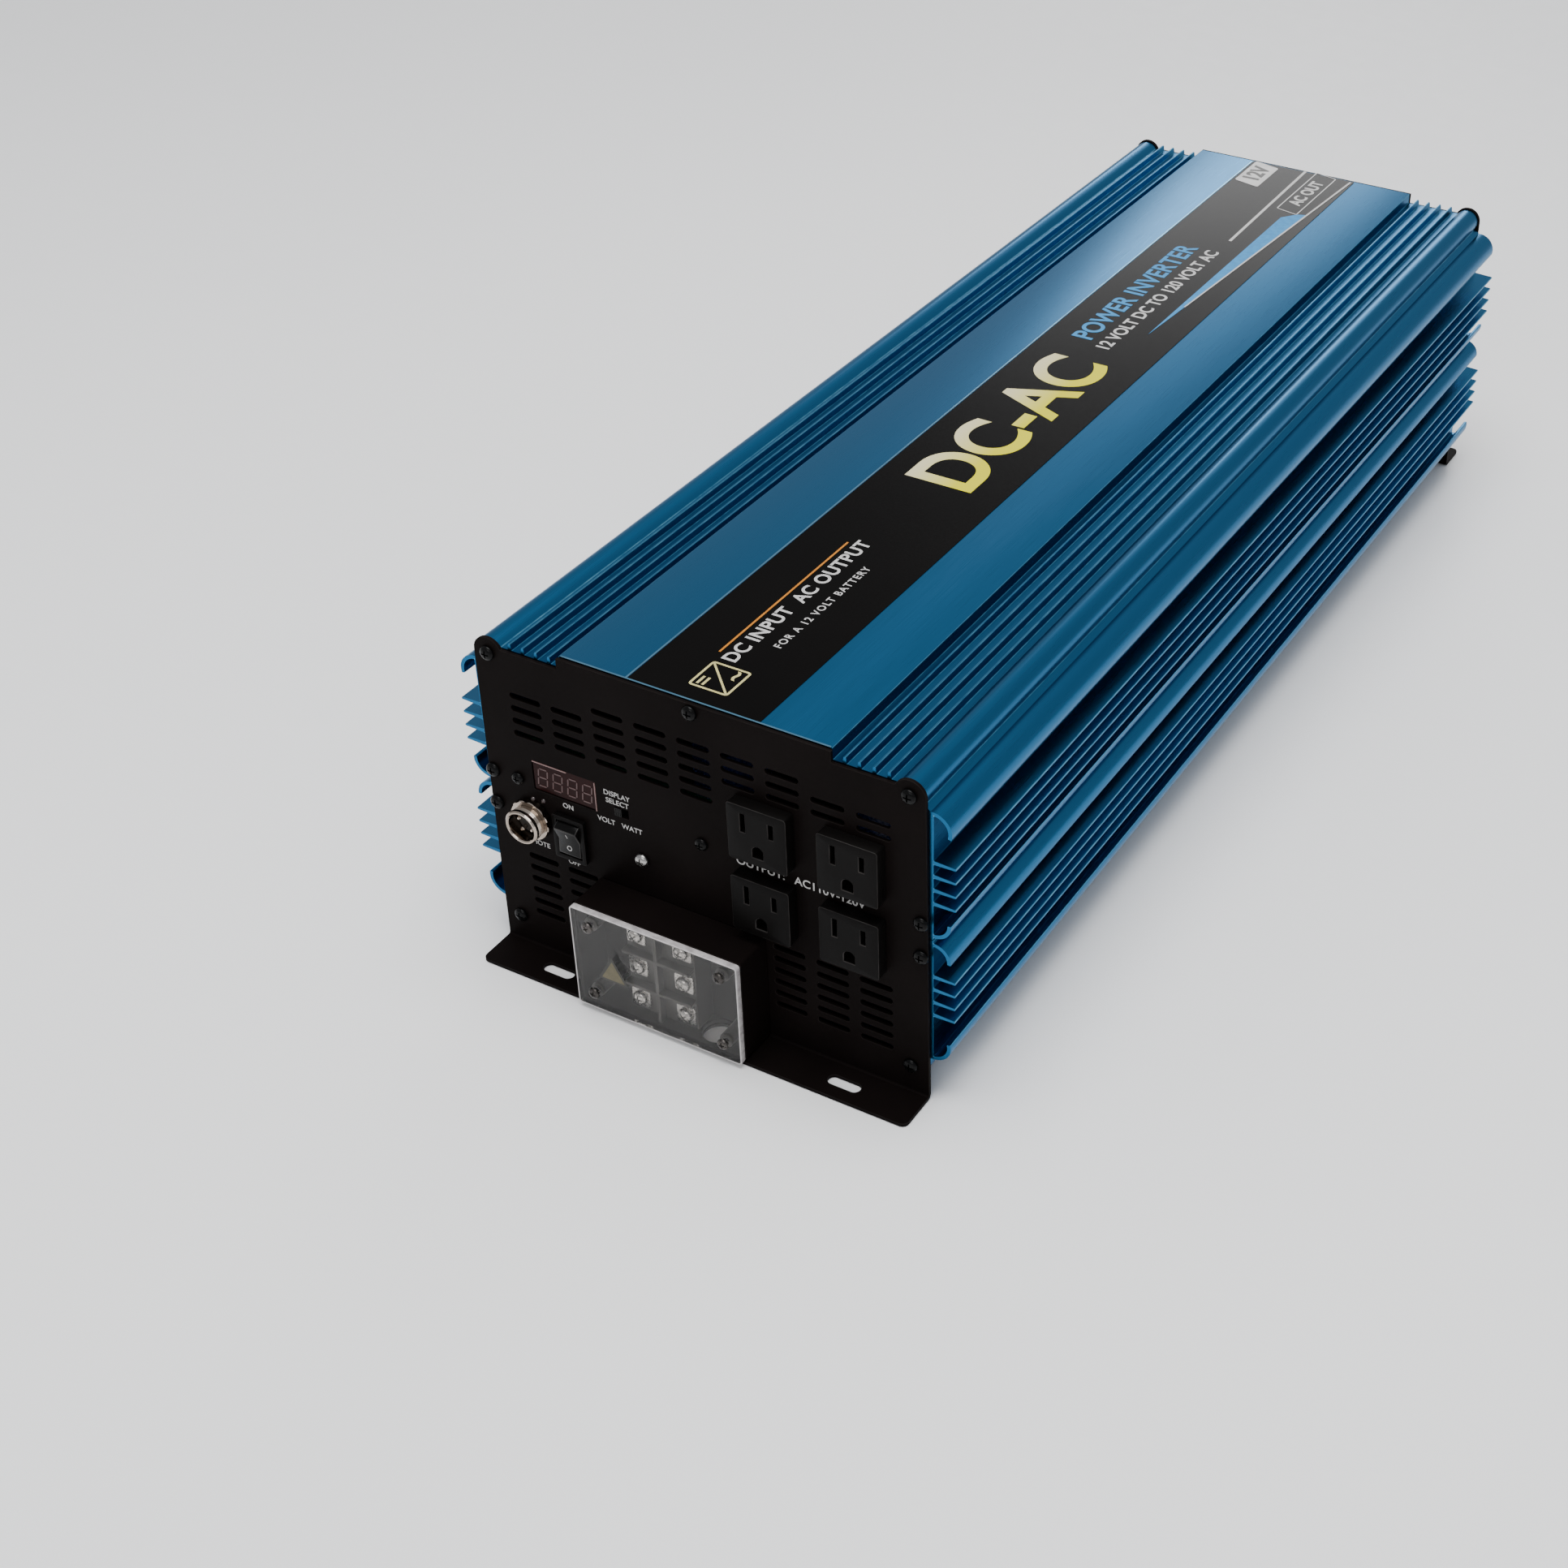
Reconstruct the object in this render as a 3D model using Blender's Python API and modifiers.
"""A 12 V power inverter: two identical finned heatsink extrusions closed by two flanged end panels.

Metres, +Z up. The origin is under the middle of the unit, level with the underside of its mounting
flanges. X runs across, and Y runs along the unit, from the AC panel at -Y to the battery panel at +Y.
"""

import math

import bmesh
import bpy
from mathutils import Matrix

# Overall sizes
BODY_LENGTH = 0.6042          # over the outer faces of the two end panels
FRONT_REACH = 0.0234          # from the AC panel's face to the heads of the cover screws
STUD_REACH = 0.0344           # from the battery panel's face to the ends of the studs
MID_Z = 0.0816                # the plane where the two extrusions meet
GAP = 0.0003                  # left between pieces that touch
CLOSE = 0.00001               # within this, two places are the same

FRONT_Y = -(BODY_LENGTH + STUD_REACH - FRONT_REACH) / 2
REAR_Y = FRONT_Y + BODY_LENGTH

# Heatsink extrusion: across and up from the plane where the halves meet
DECK_TOP = 0.0745
DECK_HALF = 0.0620            # half the width of the raised deck
DECK_STEP = 0.0051            # from the raised deck down to the ribbed shoulders
DECK_T = 0.0028
RIB_X, RIB_PITCH, RIB_COUNT = 0.0671, 0.00633, 4
RIB_HEIGHT, RIB_FOOT, RIB_TIP = 0.0029, 0.0009, 0.0005
BEAD = (0.0957, 0.0663)       # centre of the round corner that takes a panel screw
BEAD_R = 0.0062
WALL_X, WALL_T = 0.1047, 0.0024
HOOK = (0.1042, 0.0525)       # centre of the curl under the corner
HOOK_R, HOOK_T = 0.0083, 0.0016
FIN_Z, FIN_PITCH, FIN_COUNT = 0.0180, 0.0065, 4
FIN_REACH = 0.1143
FIN_ROOT, FIN_TIP = 0.0009, 0.0004
LIP = (0.1047, 0.0090)        # centre of the curl beside the meeting plane
LIP_R = 0.0076
SIDE_BOSS = (0.1005, 0.00815)
SIDE_BOSS_R = 0.0039
TOP_BOSS = (0.0, 0.0703)
TOP_BOSS_R = 0.0043
SCREW_BORE_R = 0.0020
GROOVE_Z, GROOVE_H = 0.0550, 0.0022   # groove that a circuit board slides into
RAIL_T, RAIL_REACH = 0.0010, 0.0025

# End panels: across, and up from the underside of the flange
PANEL_HALF = 0.1039
PANEL_T = 0.0016
PANEL_TOP = 0.1558
SHOULDER_TOP = 0.1506
EAR_R = 0.0069
FLANGE_REACH = 0.0190
FLANGE_CORNER = 0.0030
BEND_R = 0.0026
FLANGE_SLOT = (0.0150, 0.0055)
FLANGE_SLOT_X = 0.0704
FLANGE_SLOT_Y = -0.0100
VENT_SLOT = (0.0150, 0.0028)
VENT_PITCH_X, VENT_PITCH_Z = 0.020, 0.006
UPPER_VENT_TOP, LOWER_VENT_TOP = 0.1366, 0.0506
UPPER_VENT_ROWS = {-4: (1, 5), -3: (1, 5), -2: (0, 5), -1: (0, 5), 0: (0, 5),
                   1: (0, 3), 2: (0, 3), 3: (1, 3), 4: (1, 3)}
LOWER_VENT_COLUMNS = (-4, -3, 2, 3, 4)
LOWER_VENT_ROWS = 6

# Screws: head radius and height, shank radius and length
PANEL_SCREW = (0.0033, 0.0020, 0.0016, 0.0090)
BOARD_SCREW = (0.0029, 0.0018, 0.0015, 0.0125)
EARTH_SCREW = (0.0032, 0.0024, 0.0016, 0.0080)
CLAMP_SCREW = (0.0034, 0.0027, 0.0017, 0.0050)

# Receptacles
RECEPTACLE_X = (0.0315, 0.0717)
RECEPTACLE_Z = {"upper": 0.1076, "lower": 0.0722}
FACE_W, FACE_H, FACE_D = 0.0267, 0.0269, 0.0060
FACE_BEVEL = 0.0014
SHELL_W, SHELL_H, SHELL_D = 0.0240, 0.0245, 0.0180
BLADE_Z, BLADE_PITCH, BLADE_W = 0.0052, 0.0127, 0.0022
NEUTRAL_H, LINE_H = 0.0086, 0.0068
EARTH_DROP, EARTH_R, EARTH_FOOT = 0.0119, 0.0025, 0.0032
PIN_DEPTH = 0.0150

# Controls
DISPLAY_AT, DISPLAY_SIZE = (-0.0648, 0.0941), (0.0314, 0.0146)
DISPLAY_D, DISPLAY_INSET = 0.0075, 0.0008
CONTROL_BOARD_AT, CONTROL_BOARD_SIZE = (-0.0435, 0.0930), (0.0990, 0.0220)
CONTROL_BOARD_DEPTH = 0.0090
ROCKER_AT = (-0.0635, 0.0686)
BEZEL_SIZE, BEZEL_T = (0.0155, 0.0215), 0.0020
ROCKER_HOLE = (0.0116, 0.0176)
ROCKER_BODY = (0.0130, 0.0192, 0.0140)
ROCKER_W, ROCKER_R, ROCKER_PIVOT = 0.0108, 0.0084, 0.0010
ROCKER_REST = math.radians(10)
ROCKER_FRONT, ROCKER_BACK = 126, 45      # where the round end starts and stops, in degrees
ROCKER_VALLEY = 0.0034                   # how far the middle of the front stands out from the pivot
SELECT_AT, SELECT_SIZE = (-0.0372, 0.0906), (0.0070, 0.0044)
SELECT_BODY = (0.0060, 0.0034, 0.0086, 0.0060)   # half width and height, depths of back and channel
SELECT_TRAVEL, SELECT_PROUD = 0.0030, 0.0004
SOCKET_AT = (-0.0825, 0.0719)
SOCKET_R, SOCKET_BORE_R, SOCKET_REACH = 0.0080, 0.0064, 0.0090
SOCKET_NUT_R, SOCKET_NUT_T = 0.0095, 0.0032
SOCKET_RIM, SOCKET_TAIL = 0.0005, 0.0120
INSERT_DEPTHS = (-0.0100, 0.0030)
PIN_R, PIN_OFF = 0.0009, 0.0026
BOARD_SCREW_X, BOARD_SCREW_Z = (-0.0880, 0.0013), 0.0899
EARTH_SCREW_AT = (-0.0284, 0.0706)

# AC terminal box
BOX_X, BOX_Z = (-0.0510, 0.0294), (0.0022, 0.0532)
BOX_D, BOX_T = 0.0186, 0.0016
COVER_T = 0.0028
COVER_SCREW_X, COVER_SCREW_Z = 0.0317, 0.01745
POST_R, COVER_BORE_R = 0.0032, 0.0017
CABLE_HOLE_AT, CABLE_HOLE_R = (0.0110, -0.0095), 0.0070
BLOCK_X = (-0.0290, 0.0036)
BLOCK_BASE_D, BARRIER_D, BARRIER_T = 0.0110, 0.0154, 0.0016
TERMINAL_COLUMNS, TERMINAL_PITCH = (-0.0237, -0.0015), 0.0166
CLAMP_BORE_R, CLAMP_BORE_LOW = 0.0021, 0.0065
CLAMP_WASHER, CLAMP_WASHER_T = 0.0084, 0.0010
COVER_HEAD_R, COVER_SHANK_R, COVER_SHANK = 0.0026, 0.0012, 0.0090

# Fans and battery posts
FAN_SIZE, FAN_D, FAN_X, FAN_Z = 0.0800, 0.0250, 0.0440, 0.1040
FAN_BORE_R, FAN_HUB_R, FAN_BLADE_R = 0.0385, 0.0155, 0.0372
FAN_SCREW = 0.03575
GUARD_RINGS, GUARD_WIRE = (0.0100, 0.0190, 0.0280, 0.0370), 0.0018
GUARD_PAST_SCREW = 0.0030
FAN_SCREW_R = 0.0022
STRUT_T, STRUT_W = 0.0030, 0.0040
ROTOR_D, BLADE_COUNT, BLADE_PITCH_ANGLE = 0.0185, 7, math.radians(38)
BLADE_T, BLADE_CHORD, BLADE_ROOT = 0.0014, 0.0200, 0.0030
POST_X, POST_Z = 0.0500, 0.0400
STUD_R, INSULATOR_R, SLEEVE_R, INSULATOR_T = 0.0050, 0.0160, 0.0072, 0.0080
NUT_FLAT, NUT_T = 0.0170, 0.0080
SLEEVE_TAIL, STUD_TAIL, POST_CHAMFER = 0.0060, 0.0250, 0.0010

# Inside
BOARD_T = 0.0016
BOARD_HALF = 0.1018
BOARD_Y = (-0.2780, 0.2550)
TRANSFORMER_Y = (-0.1500, 0.0, 0.1500)
CORE_SIZE = (0.060, 0.040, 0.050)
WINDING_SPAN, WINDING_R, WINDING_ROUND = (0.004, 0.046), 0.024, 0.004
WINDING_SHAPE = (0.9, 1.35, 1)           # an oval: narrower than the core, and fatter along the unit
CAPACITOR_Y, CAPACITOR_X = -0.2250, 0.0400
CAN_R, CAN_H, CAN_ROUND = 0.0175, 0.050, 0.0015

FINISHES = {                  # linear colour, metallic, roughness
    "blue_anodised": ((0.010, 0.130, 0.270), 0.9, 0.38),
    "panel_black": ((0.012, 0.012, 0.013), 0.3, 0.48),
    "receptacle_black": ((0.018, 0.018, 0.019), 0.0, 0.42),
    "display_red": ((0.090, 0.010, 0.010), 0.0, 0.12),
    "board_green": ((0.010, 0.090, 0.040), 0.0, 0.45),
    "switch_black": ((0.016, 0.016, 0.017), 0.0, 0.35),
    "rocker_black": ((0.022, 0.022, 0.024), 0.0, 0.28),
    "socket_chrome": ((0.800, 0.800, 0.790), 1.0, 0.12),
    "insert_black": ((0.010, 0.010, 0.010), 0.0, 0.50),
    "block_black": ((0.030, 0.029, 0.028), 0.0, 0.45),
    "clear_acrylic": ((0.850, 0.870, 0.880), 0.0, 0.05),
    "screw_black": ((0.020, 0.020, 0.022), 0.9, 0.25),
    "screw_steel": ((0.620, 0.620, 0.600), 1.0, 0.25),
    "fan_black": ((0.016, 0.016, 0.017), 0.0, 0.45),
    "guard_chrome": ((0.700, 0.700, 0.700), 1.0, 0.18),
    "post_red": ((0.450, 0.015, 0.012), 0.0, 0.35),
    "post_black": ((0.015, 0.015, 0.015), 0.0, 0.35),
    "stud_brass": ((0.780, 0.560, 0.220), 1.0, 0.25),
    "core_grey": ((0.060, 0.060, 0.065), 0.0, 0.60),
    "can_blue": ((0.020, 0.040, 0.160), 0.0, 0.30),
}

FACING_FRONT = Matrix.Rotation(math.radians(90), 4, "X")    # local Z points out of the AC panel
FACING_REAR = Matrix.Rotation(math.radians(-90), 4, "X")    # local Z points out of the battery panel


def clear_scene():
    for old in list(bpy.data.objects):
        bpy.data.objects.remove(old, do_unlink=True)


def new_collection(name):
    made = bpy.data.collections.new(name)
    bpy.context.scene.collection.children.link(made)
    return made


clear_scene()
PARTS = new_collection("power_inverter")
CUTTERS = new_collection("cutters")


def material(name):
    """The named finish as a Principled material, made the first time it is asked for."""
    found = bpy.data.materials.get(name)
    if found:
        return found
    colour, metallic, roughness = FINISHES[name]
    made = bpy.data.materials.new(name)
    made.use_nodes = True
    shader = made.node_tree.nodes["Principled BSDF"]
    shader.inputs["Base Color"].default_value = (*colour, 1.0)
    shader.inputs["Metallic"].default_value = metallic
    shader.inputs["Roughness"].default_value = roughness
    return made


def part(name, mesh, finish, matrix=None):
    """A finished sub-part: its mesh may be shared with its copies."""
    made = bpy.data.objects.new(name, mesh)
    PARTS.objects.link(made)
    if matrix:
        made.matrix_world = matrix
    if not mesh.materials:
        mesh.materials.append(material(finish))
    mesh.shade_smooth()
    mesh.set_sharp_from_angle(angle=math.radians(35))
    return made


def cutter(name, mesh, matrix=None):
    made = bpy.data.objects.new(name, mesh)
    CUTTERS.objects.link(made)
    if matrix:
        made.matrix_world = matrix
    made.hide_render = True
    made.display_type = "WIRE"
    return made


def combine(target, tool, operation):
    boolean = target.modifiers.new(operation.lower(), "BOOLEAN")
    boolean.operation = operation
    boolean.object = tool


def baked(mesh, tools):
    """The mesh after a list of (tool mesh, operation), as a plain mesh that copies can share."""
    body = cutter(mesh.name + "_body", mesh)
    helpers = [cutter(tool.name, tool) for tool, _ in tools]
    for helper, (_, operation) in zip(helpers, tools):
        combine(body, helper, operation)
    bpy.context.view_layer.update()
    result = bpy.data.meshes.new_from_object(body.evaluated_get(bpy.context.evaluated_depsgraph_get()))
    result.name = mesh.name
    for old in (body, *helpers):
        bpy.data.objects.remove(old)
    return result


def mesh_from(name, bm):
    mesh = bpy.data.meshes.new(name)
    bm.to_mesh(mesh)
    bm.free()
    return mesh


def arc(centre, radius, start, end, steps):
    """Points along an arc, its angles in degrees and both ends included."""
    turns = (math.radians(start + (end - start) * i / steps) for i in range(steps + 1))
    return [(centre[0] + radius * math.cos(t), centre[1] + radius * math.sin(t)) for t in turns]


def circle(centre, radius, count):
    return arc(centre, radius, 0, 360, count)[:-1]


def rectangle(centre, size):
    half_w, half_h = size[0] / 2, size[1] / 2
    signs = ((-1, -1), (1, -1), (1, 1), (-1, 1))
    return [(centre[0] + sx * half_w, centre[1] + sy * half_h) for sx, sy in signs]


def obround(centre, size, steps=3):
    """A slot with round ends, its length along the first axis."""
    radius = size[1] / 2
    reach = size[0] / 2 - radius
    right = arc((centre[0] + reach, centre[1]), radius, -90, 90, steps)
    return right + arc((centre[0] - reach, centre[1]), radius, 90, 270, steps)


def outline_mesh(name, loops, low, high, turn=None):
    """Flat outlines, with their holes, as a solid from height low to high, then turned."""
    curve = bpy.data.curves.new(name, "CURVE")
    curve.dimensions = "2D"
    curve.fill_mode = "BOTH"
    curve.extrude = (high - low) / 2
    for loop in loops:
        spline = curve.splines.new("POLY")
        spline.points.add(len(loop) - 1)
        spline.use_cyclic_u = True
        for point, (x, y) in zip(spline.points, loop):
            point.co = (x, y, 0, 1)
    guide = bpy.data.objects.new(name, curve)
    CUTTERS.objects.link(guide)
    bpy.context.view_layer.update()
    mesh = bpy.data.meshes.new_from_object(guide.evaluated_get(bpy.context.evaluated_depsgraph_get()))
    bpy.data.objects.remove(guide)
    bm = bmesh.new()
    bm.from_mesh(mesh)
    bmesh.ops.remove_doubles(bm, verts=bm.verts, dist=1e-6)
    bmesh.ops.translate(bm, verts=bm.verts, vec=(0, 0, (low + high) / 2))
    if turn:
        bm.transform(turn)
    bmesh.ops.recalc_face_normals(bm, faces=bm.faces)
    mesh.materials.clear()
    bm.to_mesh(mesh)
    bm.free()
    mesh.name = name
    return mesh


def box_mesh(name, size, centre):
    bm = bmesh.new()
    bmesh.ops.create_cube(bm, size=1.0)
    bmesh.ops.scale(bm, vec=size, verts=bm.verts)
    bmesh.ops.translate(bm, vec=centre, verts=bm.verts)
    return mesh_from(name, bm)


def spans_mesh(name, spans):
    """Boxes, each given as its ((x0, x1), (y0, y1), (z0, z1))."""
    bm = bmesh.new()
    for span in spans:
        made = bmesh.ops.create_cube(bm, size=1.0)["verts"]
        bmesh.ops.scale(bm, vec=[high - low for low, high in span], verts=made)
        bmesh.ops.translate(bm, vec=[(low + high) / 2 for low, high in span], verts=made)
    return mesh_from(name, bm)


def turned_mesh(name, profile, steps):
    """A profile of (radius, height), from the top down its outer side, turned about Z."""
    closed = profile[0] == profile[-1]
    bm = bmesh.new()
    points = [bm.verts.new((radius, 0, height)) for radius, height in profile[:-1 if closed else None]]
    for first, second in zip(points, points[1:] + points[:1] if closed else points[1:]):
        bm.edges.new((first, second))
    guide = cutter(name, mesh_from(name, bm))
    screw = guide.modifiers.new("turn", "SCREW")
    screw.steps = screw.render_steps = steps
    screw.use_merge_vertices = True
    screw.merge_threshold = 0.00001
    bpy.context.view_layer.update()
    result = bpy.data.meshes.new_from_object(guide.evaluated_get(bpy.context.evaluated_depsgraph_get()))
    bpy.data.objects.remove(guide)
    bm = bmesh.new()
    bm.from_mesh(result)
    bmesh.ops.recalc_face_normals(bm, faces=bm.faces)
    bm.to_mesh(result)
    bm.free()
    result.name = name
    return result


def at(x, y, z, turn=None):
    place = Matrix.Translation((x, y, z))
    return place @ turn if turn else place


# Heatsink extrusions

def section_half():
    """Right half of one extrusion: from the deck's edge round the outside, then back inside."""
    shoulder = DECK_TOP - DECK_STEP
    inner_x = WALL_X - WALL_T
    points = [(DECK_HALF, DECK_TOP), (DECK_HALF, shoulder)]
    for i in range(RIB_COUNT):
        x = RIB_X + i * RIB_PITCH
        tip = shoulder + RIB_HEIGHT
        points += [(x - RIB_FOOT, shoulder), (x - RIB_TIP, tip)]
        points += [(x + RIB_TIP, tip), (x + RIB_FOOT, shoulder)]
    points += arc(BEAD, BEAD_R, 150, -35, 6)
    points += arc(HOOK, HOOK_R, 95, -15, 5)
    points += arc(HOOK, HOOK_R - HOOK_T, -15, 85, 4)
    for i in reversed(range(FIN_COUNT)):
        z = FIN_Z + i * FIN_PITCH
        points += [(WALL_X, z + FIN_ROOT), (FIN_REACH, z + FIN_TIP)]
        points += [(FIN_REACH, z - FIN_TIP), (WALL_X, z - FIN_ROOT)]
    points += arc(LIP, LIP_R - HOOK_T, -90, 5, 4)
    points += arc(LIP, LIP_R, 5, -90, 5)
    points += [(WALL_X, GAP / 2), (inner_x, GAP / 2)]
    points += arc(SIDE_BOSS, SIDE_BOSS_R, -62, -298, 6)
    rail_x = inner_x - RAIL_REACH
    for z in (GROOVE_Z - RAIL_T, GROOVE_Z + GROOVE_H):
        points += [(inner_x, z), (rail_x, z), (rail_x, z + RAIL_T), (inner_x, z + RAIL_T)]
    points.append((inner_x, BEAD[1] - BEAD_R - 0.0010))
    points += arc(BEAD, BEAD_R, -58, -183, 4)
    step_x = DECK_HALF - DECK_T
    points += [(step_x, shoulder - DECK_T), (step_x, DECK_TOP - DECK_T)]
    points += arc(TOP_BOSS, TOP_BOSS_R, 19, -90, 3)
    return points


def extrusion_mesh():
    right = section_half()
    left = [(-x, z) for x, z in reversed(right[:-1])]
    bores = [circle(TOP_BOSS, SCREW_BORE_R, 8)]
    for side in (-1, 1):
        bores += [circle((side * x, z), SCREW_BORE_R, 8) for x, z in (BEAD, SIDE_BOSS)]
    inset = PANEL_T + GAP
    low, high = -REAR_Y + inset, -FRONT_Y - inset
    return outline_mesh("extrusion", [right + left] + bores, low, high, FACING_FRONT)


def extrusions():
    mesh = extrusion_mesh()
    part("top_extrusion", mesh, "blue_anodised", at(0, 0, MID_Z))
    flipped = Matrix.Rotation(math.radians(180), 4, "Y")
    part("bottom_extrusion", mesh, "blue_anodised", at(0, 0, MID_Z, flipped))


# End panels, made facing -Y with the outer face at Y 0 and the flange's underside at Z 0

def panel_outline():
    """The face's outline: straight sides, an ear over each top screw and a raised middle."""
    ear = (BEAD[0], MID_Z + BEAD[1])
    right = [(PANEL_HALF, -PANEL_T), (PANEL_HALF, ear[1] - EAR_R)]
    right += arc(ear, EAR_R, 0, 155, 6)
    right += [(DECK_HALF + GAP, SHOULDER_TOP), (DECK_HALF + GAP, PANEL_TOP)]
    return right + [(-x, z) for x, z in reversed(right)]


def bent_sheet_mesh(name):
    """The sheet's L section, bent to form the flange, drawn in (out, up) and drawn out across."""
    bend = (BEND_R - PANEL_T, BEND_R)
    section = [(-PANEL_T, PANEL_TOP)] + arc(bend, BEND_R, 180, 270, 4)
    section += [(FLANGE_REACH, 0), (FLANGE_REACH, PANEL_T)] + arc(bend, BEND_R - PANEL_T, 270, 180, 3)
    section.append((0, PANEL_TOP))
    turn = Matrix(((0, 0, -1, 0), (-1, 0, 0, 0), (0, 1, 0, 0), (0, 0, 0, 1)))
    mesh = outline_mesh(name, [section], -PANEL_HALF, PANEL_HALF, turn)
    bm = bmesh.new()
    bm.from_mesh(mesh)
    tip = [e for e in bm.edges if all(v.co.y < CLOSE - FLANGE_REACH for v in e.verts)]
    corners = [e for e in tip if abs(e.verts[0].co.x - e.verts[1].co.x) < CLOSE]
    bmesh.ops.bevel(bm, geom=corners, offset=FLANGE_CORNER, segments=3, affect="EDGES",
                    profile=0.5, material=-1)
    bm.to_mesh(mesh)
    bm.free()
    return mesh


def panel(name, face_holes, flange_holes, matrix):
    slots = [obround((side * FLANGE_SLOT_X, FLANGE_SLOT_Y), FLANGE_SLOT) for side in (-1, 1)]
    past_flange, past_sheet = 1.25 * FLANGE_REACH, 2.5 * PANEL_T
    body = part(name, bent_sheet_mesh(name), "panel_black", matrix)
    outline_tool = outline_mesh("outline", [panel_outline()], -past_flange, past_flange, FACING_FRONT)
    outline = cutter(name + "_outline", outline_tool, matrix)
    holes_tool = outline_mesh("holes", face_holes, -past_sheet, past_sheet, FACING_FRONT)
    holes = cutter(name + "_holes", holes_tool, matrix)
    feet_tool = outline_mesh("slots", slots + flange_holes, -past_sheet, past_sheet)
    feet = cutter(name + "_slots", feet_tool, matrix)
    combine(body, outline, "INTERSECT")
    combine(body, holes, "DIFFERENCE")
    combine(body, feet, "DIFFERENCE")


def panel_screw_places():
    """Where the nine panel screws sit, as (across, up)."""
    signs = [(side, flip) for flip in (1, -1) for side in (-1, 1)]
    places = [(side * x, MID_Z + flip * z) for x, z in (BEAD, SIDE_BOSS) for side, flip in signs]
    return places + [(0.0, MID_Z + TOP_BOSS[1])]


def vent_slots():
    slots = []
    for column, (first, end) in UPPER_VENT_ROWS.items():
        slots += [(column * VENT_PITCH_X, UPPER_VENT_TOP - row * VENT_PITCH_Z) for row in range(first, end)]
    for column in LOWER_VENT_COLUMNS:
        rows = range(LOWER_VENT_ROWS)
        slots += [(column * VENT_PITCH_X, LOWER_VENT_TOP - row * VENT_PITCH_Z) for row in rows]
    return [obround(place, VENT_SLOT) for place in slots]


def receptacle_places():
    sides = zip(("left", "right"), RECEPTACLE_X)
    return [(f"{row}_{side}", x, z) for side, x in sides for row, z in RECEPTACLE_Z.items()]


def front_panel():
    holes = vent_slots()
    holes += [circle(place, SCREW_BORE_R, 8) for place in panel_screw_places()]
    holes += [rectangle((x, z), (SHELL_W + 2 * GAP, SHELL_H + 2 * GAP)) for _, x, z in receptacle_places()]
    holes.append(rectangle(DISPLAY_AT, DISPLAY_SIZE))
    holes.append(rectangle(ROCKER_AT, (ROCKER_BODY[0] + 2 * GAP, ROCKER_BODY[1] + 2 * GAP)))
    holes.append(rectangle(SELECT_AT, SELECT_SIZE))
    holes.append(circle(SOCKET_AT, SOCKET_R + GAP, 20))
    holes += [circle((x, BOARD_SCREW_Z), SCREW_BORE_R, 8) for x in BOARD_SCREW_X]
    holes.append(circle(EARTH_SCREW_AT, SCREW_BORE_R, 8))
    cable_hole = circle(CABLE_HOLE_AT, CABLE_HOLE_R, 16)
    panel("front_panel", holes, [cable_hole], at(0, FRONT_Y, 0))


def rear_panel():
    holes = [circle(place, SCREW_BORE_R, 8) for place in panel_screw_places()]
    holes += [circle((side * FAN_X, FAN_Z), FAN_BORE_R, 28) for side in (-1, 1)]
    holes += [circle((side * POST_X, POST_Z), SLEEVE_R + GAP, 16) for side in (-1, 1)]
    panel("rear_panel", holes, [], at(0, REAR_Y, 0, Matrix.Rotation(math.pi, 4, "Z")))


# Fasteners

def button_screw_mesh(name, head_r, head_h, shank_r, shank):
    """A domed head above Z 0 and a shank below it."""
    profile = [(0, head_h)]
    for across, up in ((0.57, 0.87), (0.88, 0.59)):
        profile.append((head_r * across, head_h * up))
    profile += [(head_r, 0), (shank_r, 0), (shank_r, -shank), (0, -shank)]
    return turned_mesh(name, profile, 10)


def front_screws():
    y = FRONT_Y - GAP
    mesh = button_screw_mesh("panel_screw", *PANEL_SCREW)
    for number, (x, z) in enumerate(panel_screw_places(), 1):
        part(f"panel_screw_{number}", mesh, "screw_black", at(x, y, z, FACING_FRONT))
    mesh = button_screw_mesh("board_screw", *BOARD_SCREW)
    for side, x in zip(("left", "right"), BOARD_SCREW_X):
        part(f"board_screw_{side}", mesh, "screw_black", at(x, y, BOARD_SCREW_Z, FACING_FRONT))
    mesh = button_screw_mesh("earth_screw", *EARTH_SCREW)
    part("earth_screw", mesh, "screw_steel", at(EARTH_SCREW_AT[0], y, EARTH_SCREW_AT[1], FACING_FRONT))


# Receptacles and controls, made in the panel's frame with the panel's face at Y 0

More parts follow.
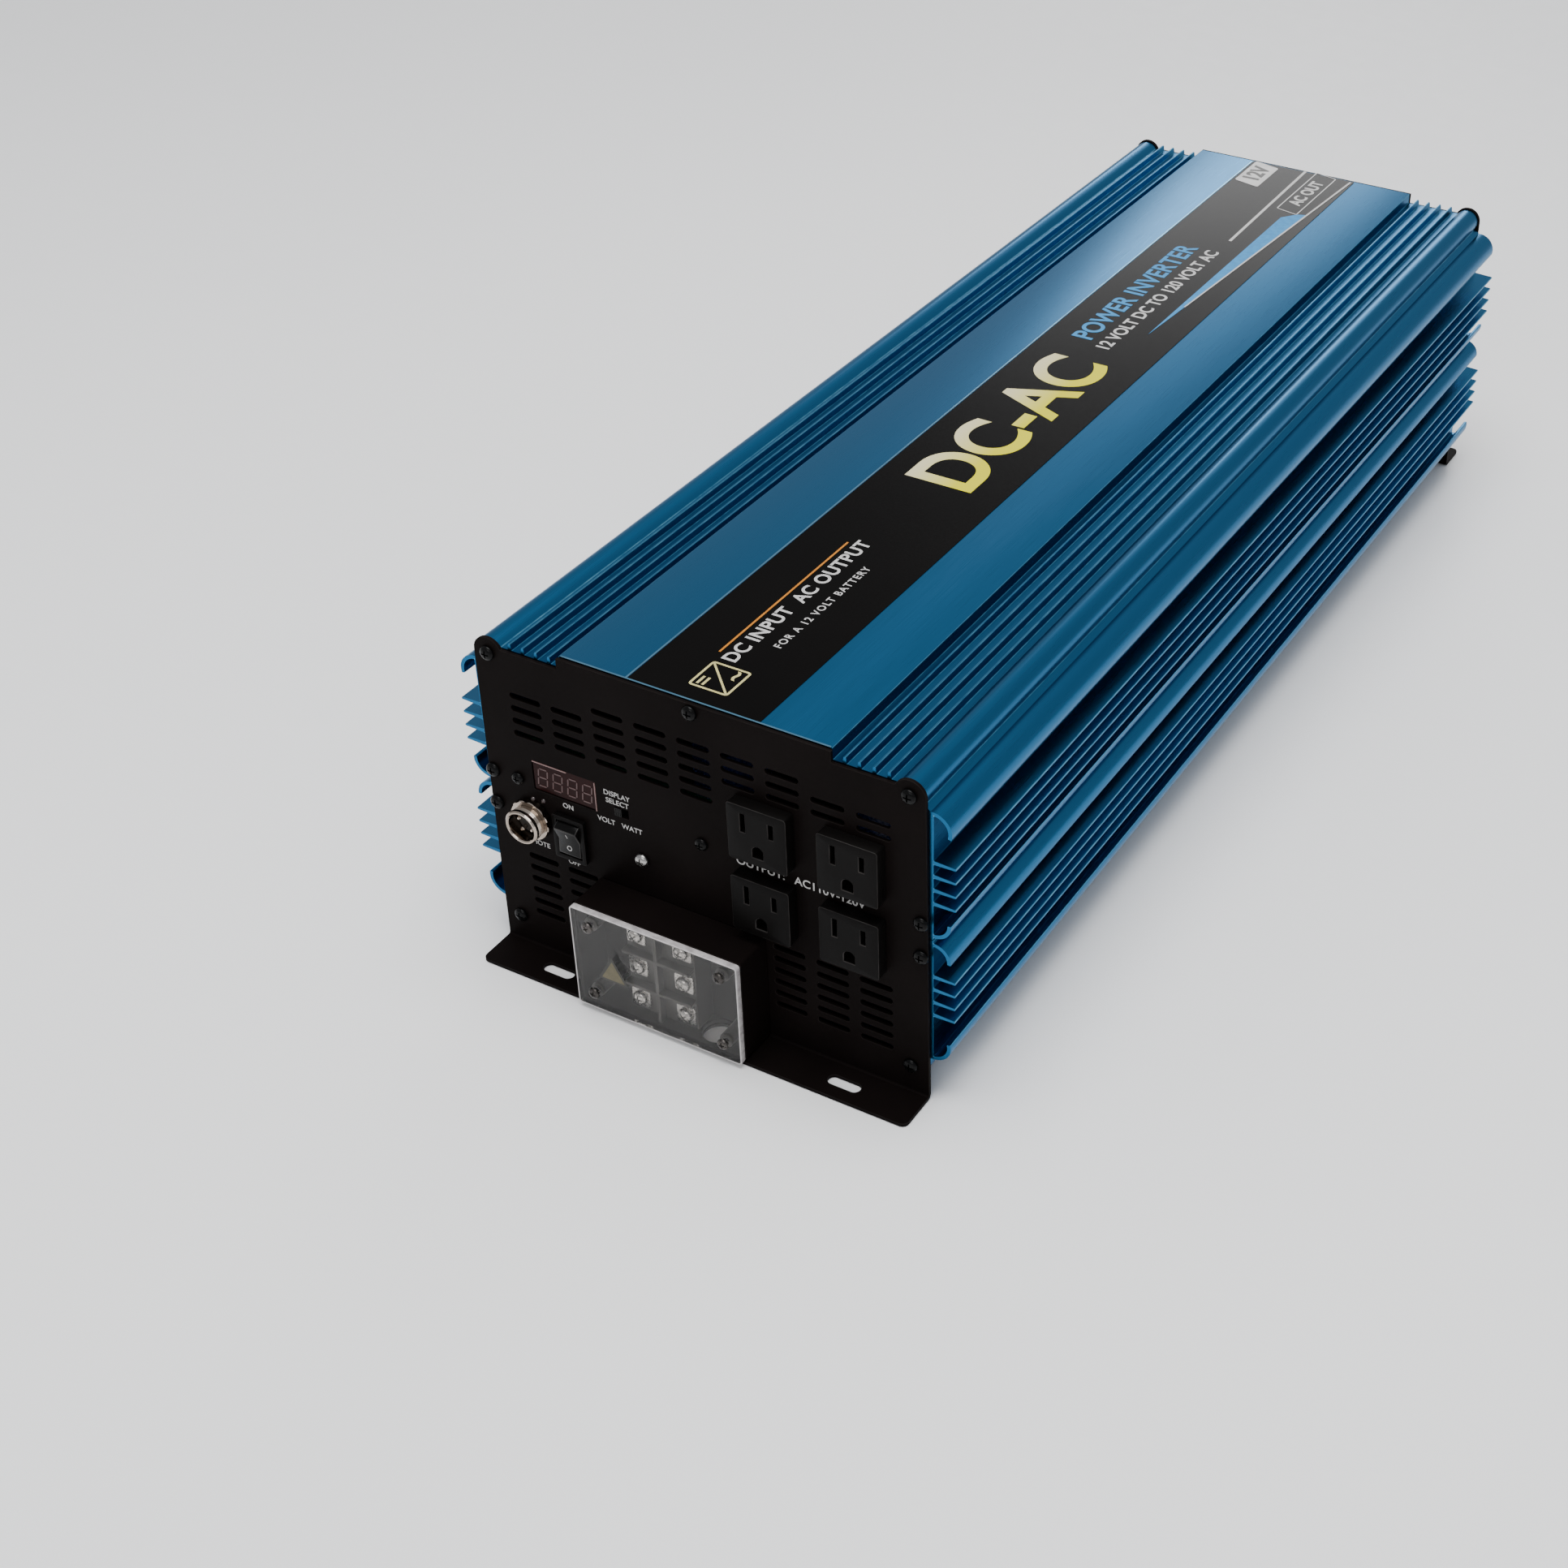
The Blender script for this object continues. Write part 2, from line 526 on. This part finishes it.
def receptacle_mesh():
    """A raised face with bevelled edges, a shell behind the panel and three pin holes."""
    bm = bmesh.new()
    bmesh.ops.create_cube(bm, size=1.0)
    bmesh.ops.scale(bm, vec=(FACE_W, FACE_D, FACE_H), verts=bm.verts)
    bmesh.ops.translate(bm, vec=(0, -FACE_D / 2 - GAP, 0), verts=bm.verts)
    rim = [e for e in bm.edges if all(v.co.y < -FACE_D / 2 for v in e.verts)]
    bmesh.ops.bevel(bm, geom=rim, offset=FACE_BEVEL, segments=2, affect="EDGES", profile=0.5, material=-1)
    face = mesh_from("receptacle", bm)
    shell_back = PANEL_T + SHELL_D
    across, up = (-SHELL_W / 2, SHELL_W / 2), (-SHELL_H / 2, SHELL_H / 2)
    shell = spans_mesh("shell", [(across, (-FACE_D / 2, shell_back), up)])
    neutral = rectangle((-BLADE_PITCH / 2, BLADE_Z), (BLADE_W, NEUTRAL_H))
    line = rectangle((BLADE_PITCH / 2, BLADE_Z), (BLADE_W, LINE_H))
    earth_z = BLADE_Z - EARTH_DROP
    earth = [(-EARTH_R, earth_z - EARTH_FOOT), (EARTH_R, earth_z - EARTH_FOOT)]
    earth += arc((0, earth_z), EARTH_R, 0, 180, 6)
    pins = outline_mesh("pins", [neutral, line, earth], FACE_D - PIN_DEPTH, 2 * FACE_D, FACING_FRONT)
    return baked(face, [(shell, "UNION"), (pins, "DIFFERENCE")])


def receptacles():
    mesh = receptacle_mesh()
    for name, x, z in receptacle_places():
        part(f"receptacle_{name}", mesh, "receptacle_black", at(x, FRONT_Y, z))


def display():
    size = (DISPLAY_SIZE[0] - 2 * GAP, DISPLAY_D, DISPLAY_SIZE[1] - 2 * GAP)
    mesh = box_mesh("display_module", size, (0, DISPLAY_D / 2 + DISPLAY_INSET, 0))
    part("display_module", mesh, "display_red", at(DISPLAY_AT[0], FRONT_Y, DISPLAY_AT[1]))
    board = rectangle(CONTROL_BOARD_AT, CONTROL_BOARD_SIZE)
    bores = [circle((x, BOARD_SCREW_Z), SCREW_BORE_R, 8) for x in BOARD_SCREW_X]
    back = -CONTROL_BOARD_DEPTH - BOARD_T
    mesh = outline_mesh("control_board", [board] + bores, back, -CONTROL_BOARD_DEPTH, FACING_FRONT)
    part("control_board", mesh, "board_green", at(0, FRONT_Y, 0))


def rocker_bezel():
    """The bezel, with a body behind the panel and the well that the rocker turns in."""
    size = (BEZEL_SIZE[0], BEZEL_T, BEZEL_SIZE[1])
    frame = box_mesh("rocker_bezel", size, (0, -BEZEL_T / 2 - GAP, 0))
    half_w, half_h, depth = ROCKER_BODY[0] / 2, ROCKER_BODY[1] / 2, ROCKER_BODY[2]
    body = spans_mesh("body", [((-half_w, half_w), (-BEZEL_T / 2, depth), (-half_h, half_h))])
    floor = ROCKER_PIVOT + ROCKER_R + 2 * GAP
    half_w, half_h = ROCKER_HOLE[0] / 2, ROCKER_HOLE[1] / 2
    well = spans_mesh("well", [((-half_w, half_w), (-2 * BEZEL_T, floor), (-half_h, half_h))])
    mesh = baked(frame, [(body, "UNION"), (well, "DIFFERENCE")])
    part("rocker_bezel", mesh, "switch_black", at(ROCKER_AT[0], FRONT_Y, ROCKER_AT[1]))


def power_rocker():
    """A shallow V in front, round ends about the pivot and a flat back, resting switched off."""
    side = arc((0, 0), ROCKER_R, ROCKER_FRONT, ROCKER_BACK, 4)
    outline = [(-ROCKER_VALLEY, 0)] + side + [(x, -z) for x, z in reversed(side)]
    turn = Matrix(((0, 0, -1, 0), (1, 0, 0, 0), (0, 1, 0, 0), (0, 0, 0, 1)))
    mesh = outline_mesh("power_rocker", [outline], -ROCKER_W / 2, ROCKER_W / 2, turn)
    pivot = at(ROCKER_AT[0], FRONT_Y + ROCKER_PIVOT, ROCKER_AT[1])
    part("power_rocker", mesh, "rocker_black", pivot @ Matrix.Rotation(ROCKER_REST, 4, "X"))


def display_select():
    """A slide switch behind its window: a body with a channel and a slider at its left end."""
    front, (half_w, half_h, back, floor) = PANEL_T + GAP, SELECT_BODY
    width, height = SELECT_SIZE
    body = spans_mesh("display_select_switch", [((-half_w, half_w), (front, back), (-half_h, half_h))])
    channel = spans_mesh("channel", [((-width / 2, width / 2), (0, floor), (-height / 2, height / 2))])
    mesh = baked(body, [(channel, "DIFFERENCE")])
    place = at(SELECT_AT[0], FRONT_Y, SELECT_AT[1])
    part("display_select_switch", mesh, "switch_black", place)
    knob_w = width - SELECT_TRAVEL - 2 * GAP
    left = -width / 2 + GAP
    knob_h = height / 2 - GAP
    span = ((left, left + knob_w), (-SELECT_PROUD, floor - GAP), (-knob_h, knob_h))
    slider = spans_mesh("display_select_slider", [span])
    part("display_select_slider", slider, "rocker_black", place)


def remote_socket():
    """A round metal socket: its nut against the panel, a threaded tube, and an insert with four pins."""
    nut_front, rim = SOCKET_NUT_T + GAP, SOCKET_REACH - SOCKET_RIM
    profile = [(SOCKET_BORE_R, SOCKET_REACH), (SOCKET_R - SOCKET_RIM, SOCKET_REACH), (SOCKET_R, rim),
               (SOCKET_R, nut_front), (SOCKET_NUT_R, nut_front), (SOCKET_NUT_R, GAP), (SOCKET_R, GAP),
               (SOCKET_R, -SOCKET_TAIL), (SOCKET_BORE_R, -SOCKET_TAIL), (SOCKET_BORE_R, SOCKET_REACH)]
    place = at(SOCKET_AT[0], FRONT_Y, SOCKET_AT[1], FACING_FRONT)
    part("remote_socket_shell", turned_mesh("remote_socket_shell", profile, 20), "socket_chrome", place)
    back, front = INSERT_DEPTHS
    disc = outline_mesh("remote_socket_insert", [circle((0, 0), SOCKET_BORE_R - GAP, 16)], back, front)
    pins = [circle((dx * PIN_OFF, dz * PIN_OFF), PIN_R, 8) for dx in (-1, 1) for dz in (-1, 1)]
    pin_mesh = outline_mesh("pins", pins, 0, front + PIN_R)
    part("remote_socket_insert", baked(disc, [(pin_mesh, "UNION")]), "insert_black", place)


# AC terminal box, made in the panel's frame

def cover_screw_places():
    x, z = sum(BOX_X) / 2, sum(BOX_Z) / 2
    return [(x + sx * COVER_SCREW_X, z + sz * COVER_SCREW_Z) for sz in (1, -1) for sx in (-1, 1)]


def terminal_box():
    """A tray, open in front, with a post for each cover screw and a cable hole in its floor."""
    back, front = -GAP, -GAP - BOX_D
    inner_x = (BOX_X[0] + BOX_T, BOX_X[1] - BOX_T)
    inner_z = (BOX_Z[0] + BOX_T, BOX_Z[1] - BOX_T)
    outside = spans_mesh("terminal_box", [(BOX_X, (front, back), BOX_Z)])
    hollow = spans_mesh("hollow", [(inner_x, (front - BOX_T, back - BOX_T), inner_z)])
    radii = (POST_R, COVER_BORE_R)
    tubes = [circle(place, radius, 12) for place in cover_screw_places() for radius in radii]
    posts = outline_mesh("posts", tubes, GAP + BOX_T / 2, -front - GAP, FACING_FRONT)
    cable = outline_mesh("cable", [circle(CABLE_HOLE_AT, CABLE_HOLE_R, 16)], 0, BOX_Z[0] + 2 * BOX_T)
    tools = [(hollow, "DIFFERENCE"), (posts, "UNION"), (cable, "DIFFERENCE")]
    part("terminal_box", baked(outside, tools), "panel_black", at(0, FRONT_Y, 0))


def terminal_places():
    middle = sum(BOX_Z) / 2
    return [(x, middle + row * TERMINAL_PITCH) for row in (1, 0, -1) for x in TERMINAL_COLUMNS]


def terminal_block():
    """Three poles of two screws each, parted by barriers that stand up from a common base."""
    back = -2 * GAP - BOX_T
    base_front, barrier_front = back - BLOCK_BASE_D, back - BARRIER_D
    half_t, middle = BARRIER_T / 2, sum(BOX_Z) / 2
    low, high = BOX_Z[0] + BOX_T + GAP, BOX_Z[1] - BOX_T - GAP
    base = spans_mesh("terminal_block", [(BLOCK_X, (base_front, back), (low, high))])
    levels = [middle + step * TERMINAL_PITCH / 2 for step in (1, -1)]
    centre_x = sum(TERMINAL_COLUMNS) / 2
    foot = (barrier_front, base_front + half_t)
    rows = [(BLOCK_X, foot, (z - half_t, z + half_t)) for z in levels]
    spine_foot = (barrier_front + GAP, base_front + half_t)
    bar = [((centre_x - half_t, centre_x + half_t), spine_foot, (low + GAP, high - GAP))]
    rings = [circle(place, CLAMP_BORE_R, 8) for place in terminal_places()]
    bores = outline_mesh("bores", rings, CLAMP_BORE_LOW, 2 * BARRIER_D, FACING_FRONT)
    tools = [(spans_mesh("rows", rows), "UNION"), (spans_mesh("bar", bar), "UNION"), (bores, "DIFFERENCE")]
    part("terminal_block", baked(base, tools), "block_black", at(0, FRONT_Y, 0))


def terminal_screws():
    """Pan heads on square clamping washers."""
    size = (CLAMP_WASHER, CLAMP_WASHER, CLAMP_WASHER_T)
    plate = box_mesh("terminal_screw", size, (0, 0, CLAMP_WASHER_T / 2))
    head = button_screw_mesh("head", *CLAMP_SCREW)
    head.transform(Matrix.Translation((0, 0, 0.9 * CLAMP_WASHER_T)))
    mesh = baked(plate, [(head, "UNION")])
    y = FRONT_Y - 3 * GAP - BOX_T - BLOCK_BASE_D
    for number, (x, z) in enumerate(terminal_places(), 1):
        part(f"terminal_screw_{number}", mesh, "screw_steel", at(x, y, z, FACING_FRONT))


def terminal_cover():
    """A clear plate over the terminal box, held by four screws."""
    back = 2 * GAP + BOX_D
    centre = (sum(BOX_X) / 2, sum(BOX_Z) / 2)
    size = (BOX_X[1] - BOX_X[0], BOX_Z[1] - BOX_Z[0])
    front = back + COVER_T
    loops = [rectangle(centre, size)] + [circle(place, COVER_BORE_R, 8) for place in cover_screw_places()]
    mesh = outline_mesh("terminal_cover", loops, back, front, FACING_FRONT)
    part("terminal_cover", mesh, "clear_acrylic", at(0, FRONT_Y, 0))
    head_h = FRONT_REACH - front - GAP
    screw = button_screw_mesh("cover_screw", COVER_HEAD_R, head_h, COVER_SHANK_R, COVER_SHANK)
    y = FRONT_Y - front - GAP
    for number, (x, z) in enumerate(cover_screw_places(), 1):
        part(f"cover_screw_{number}", screw, "screw_steel", at(x, y, z, FACING_FRONT))


# Fans, made about their own axis with Z 0 at the frame's rear face and Z rising out of the unit

def fan_frame_mesh():
    low, high = -FAN_D, STRUT_T - FAN_D
    places = [(sx * FAN_SCREW, sy * FAN_SCREW) for sx in (-1, 1) for sy in (-1, 1)]
    loops = [rectangle((0, 0), (FAN_SIZE, FAN_SIZE)), circle((0, 0), FAN_BORE_R, 24)]
    loops += [circle(place, FAN_SCREW_R, 6) for place in places]
    body = outline_mesh("fan_frame", loops, low, 0)
    hub = outline_mesh("hub", [circle((0, 0), FAN_HUB_R, 12)], low + CLOSE, high)
    along, across = (GAP - FAN_SIZE / 2, FAN_SIZE / 2 - GAP), (-STRUT_W / 2, STRUT_W / 2)
    inset = GAP / 3
    struts = spans_mesh("struts", [(along, across, (low + inset, high - inset))])
    cross = spans_mesh("cross", [(across, along, (low + 2 * inset, high - 2 * inset))])
    return baked(body, [(hub, "UNION"), (struts, "UNION"), (cross, "UNION")])


def fan_rotor_mesh():
    """A round hub with seven pitched blades."""
    hub = outline_mesh("fan_rotor", [circle((0, 0), FAN_HUB_R, 14)], 0, ROTOR_D)
    bm = bmesh.new()
    length = FAN_BLADE_R - FAN_HUB_R + BLADE_ROOT
    reach = FAN_BLADE_R - length / 2
    pitch = Matrix.Rotation(BLADE_PITCH_ANGLE, 3, "X")
    for i in range(BLADE_COUNT):
        turn = Matrix.Rotation(math.tau * i / BLADE_COUNT, 3, "Z")
        blade = bmesh.ops.create_cube(bm, size=1.0)["verts"]
        bmesh.ops.scale(bm, vec=(length, BLADE_T, BLADE_CHORD), verts=blade)
        bmesh.ops.rotate(bm, cent=(0, 0, 0), matrix=pitch, verts=blade)
        bmesh.ops.translate(bm, vec=(reach, 0, ROTOR_D / 2), verts=blade)
        bmesh.ops.rotate(bm, cent=(0, 0, 0), matrix=turn, verts=blade)
    return baked(hub, [(mesh_from("blades", bm), "UNION")])


def fan_guard_mesh():
    """Wire rings on two crossed wires that reach the fan's corner screws."""
    half = GUARD_WIRE / 2
    loops = []
    for radius in GUARD_RINGS:
        loops += [circle((0, 0), radius + half, 16), circle((0, 0), radius - half, 16)]
    rings = outline_mesh("fan_guard", loops, 0, GUARD_WIRE)
    reach = FAN_SCREW * math.sqrt(2) + GUARD_PAST_SCREW
    tools = []
    for name, angle in (("wire", 45), ("cross_wire", 135)):
        wire = spans_mesh(name, [((-reach, reach), (-half, half), (GUARD_WIRE * 0.1, GUARD_WIRE * 0.9))])
        wire.transform(Matrix.Rotation(math.radians(angle), 4, "Z"))
        tools.append((wire, "UNION"))
    return baked(rings, tools)


def fans():
    frame, rotor, guard = fan_frame_mesh(), fan_rotor_mesh(), fan_guard_mesh()
    inner = REAR_Y - PANEL_T - GAP
    rotor_y = inner - FAN_D + STRUT_T + 2 * GAP
    for side, x in (("left", -FAN_X), ("right", FAN_X)):
        part(f"fan_frame_{side}", frame, "fan_black", at(x, inner, FAN_Z, FACING_REAR))
        part(f"fan_rotor_{side}", rotor, "fan_black", at(x, rotor_y, FAN_Z, FACING_REAR))
        part(f"fan_guard_{side}", guard, "guard_chrome", at(x, REAR_Y + GAP, FAN_Z, FACING_REAR))


# Battery posts, made along Z with the battery panel's face at Z 0

def battery_posts():
    bore, rim = STUD_R + GAP, INSULATOR_T - POST_CHAMFER
    insulator = turned_mesh("dc_insulator", [
        (bore, INSULATOR_T), (INSULATOR_R - POST_CHAMFER, INSULATOR_T), (INSULATOR_R, rim),
        (INSULATOR_R, GAP), (SLEEVE_R, GAP), (SLEEVE_R, -SLEEVE_TAIL), (bore, -SLEEVE_TAIL),
        (bore, INSULATOR_T)], 16)
    stud = turned_mesh("dc_stud", [
        (0, STUD_REACH), (STUD_R - POST_CHAMFER, STUD_REACH), (STUD_R, STUD_REACH - POST_CHAMFER),
        (STUD_R, -STUD_TAIL), (0, -STUD_TAIL)], 12)
    nut_low = INSULATOR_T + GAP
    loops = [circle((0, 0), NUT_FLAT / math.sqrt(3), 6), circle((0, 0), bore, 12)]
    nut = outline_mesh("dc_nut", loops, nut_low, nut_low + NUT_T)
    for pole, finish, side in (("positive", "post_red", 1), ("negative", "post_black", -1)):
        own = insulator.copy()
        place = at(side * POST_X, REAR_Y, POST_Z, FACING_REAR)
        part(f"dc_insulator_{pole}", own, finish, place)
        part(f"dc_stud_{pole}", stud, "stud_brass", place)
        part(f"dc_nut_{pole}", nut, "screw_steel", place)


# Inside: a board in each extrusion's grooves, with transformers and capacitors on the lower one

def circuit_boards():
    groove = GROOVE_Z + GAP
    length = BOARD_Y[1] - BOARD_Y[0]
    mesh = box_mesh("board", (2 * BOARD_HALF, length, BOARD_T), (0, sum(BOARD_Y) / 2, 0))
    level = groove + BOARD_T / 2
    part("main_board", mesh, "board_green", at(0, 0, MID_Z - level))
    part("inverter_board", mesh, "board_green", at(0, 0, MID_Z + level))
    return MID_Z - groove + GAP


def transformer_mesh():
    """A laminated core round a fat winding."""
    core = box_mesh("transformer", CORE_SIZE, (0, 0, CORE_SIZE[2] / 2))
    low, high = WINDING_SPAN
    inner = WINDING_R - WINDING_ROUND
    winding = turned_mesh("winding", [
        (0, high), (inner, high), (WINDING_R, high - WINDING_ROUND), (WINDING_R, low + WINDING_ROUND),
        (inner, low), (0, low)], 14)
    winding.transform(Matrix.Diagonal((*WINDING_SHAPE, 1)))
    return baked(core, [(winding, "UNION")])


def large_components(board_top):
    mesh = transformer_mesh()
    for name, y in zip(("front", "middle", "rear"), TRANSFORMER_Y):
        part(f"transformer_{name}", mesh, "core_grey", at(0, y, board_top))
    can = turned_mesh("capacitor", [
        (0, CAN_H), (CAN_R - CAN_ROUND, CAN_H), (CAN_R, CAN_H - CAN_ROUND), (CAN_R, 0), (0, 0)], 16)
    for name, x in (("left", -CAPACITOR_X), ("right", CAPACITOR_X)):
        part(f"capacitor_{name}", can, "can_blue", at(x, CAPACITOR_Y, board_top))


extrusions()
front_panel()
rear_panel()
front_screws()
receptacles()
display()
rocker_bezel()
power_rocker()
display_select()
remote_socket()
terminal_box()
terminal_block()
terminal_screws()
terminal_cover()
fans()
battery_posts()
large_components(circuit_boards())
